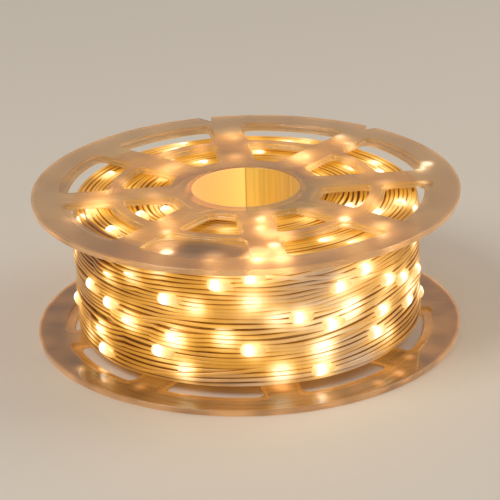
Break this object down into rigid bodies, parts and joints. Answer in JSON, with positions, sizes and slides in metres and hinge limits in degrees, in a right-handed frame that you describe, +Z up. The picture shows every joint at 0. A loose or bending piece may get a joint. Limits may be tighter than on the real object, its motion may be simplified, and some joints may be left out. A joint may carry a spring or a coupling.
{
  "type": "led string lights on a reel",
  "caption": "Warm white LED string light wound as a coil between the openwork flanges of a frosted clear plastic reel, lying flat.",
  "frame": {"origin": "centre of the lower flange's underside, on the surface that the reel lies on", "axes": "+Z up along the reel's axis, -Y towards the side that the picture shows"},
  "size_m": [0.14, 0.14, 0.049],
  "materials": {
    "frosted_reel": "frosted clear polypropylene, moulded",
    "clear_wire": "clear soft PVC insulation over copper strands",
    "led_resin": "clear cast resin, lit warm white from inside"
  },
  "bodies": {
    "root": {"spool_lower_half": "frosted_reel", "spool_upper_half": "frosted_reel", "wire_coil": "clear_wire", "led_bead_01": "led_resin", "led_bead_02": "led_resin", "led_bead_03": "led_resin", "led_bead_04": "led_resin", "led_bead_05": "led_resin", "led_bead_06": "led_resin", "led_bead_07": "led_resin", "led_bead_08": "led_resin", "led_bead_09": "led_resin", "led_bead_10": "led_resin", "led_bead_11": "led_resin", "led_bead_12": "led_resin", "led_bead_13": "led_resin", "led_bead_14": "led_resin", "led_bead_15": "led_resin", "led_bead_16": "led_resin", "led_bead_17": "led_resin", "led_bead_18": "led_resin", "led_bead_19": "led_resin", "led_bead_20": "led_resin", "led_bead_21": "led_resin", "led_bead_22": "led_resin", "led_bead_23": "led_resin", "led_bead_24": "led_resin", "led_bead_25": "led_resin", "led_bead_26": "led_resin", "led_bead_27": "led_resin", "led_bead_28": "led_resin", "led_bead_29": "led_resin", "led_bead_30": "led_resin", "led_bead_31": "led_resin", "led_bead_32": "led_resin", "led_bead_33": "led_resin", "led_bead_34": "led_resin", "led_bead_35": "led_resin", "led_bead_36": "led_resin", "led_bead_37": "led_resin", "led_bead_38": "led_resin", "led_bead_39": "led_resin", "led_bead_40": "led_resin", "led_bead_41": "led_resin", "led_bead_42": "led_resin", "led_bead_43": "led_resin", "led_bead_44": "led_resin", "led_bead_45": "led_resin", "led_bead_46": "led_resin", "led_bead_47": "led_resin", "led_bead_48": "led_resin", "led_bead_49": "led_resin", "led_bead_50": "led_resin", "led_bead_51": "led_resin", "led_bead_52": "led_resin"}
  },
  "joints": []
}
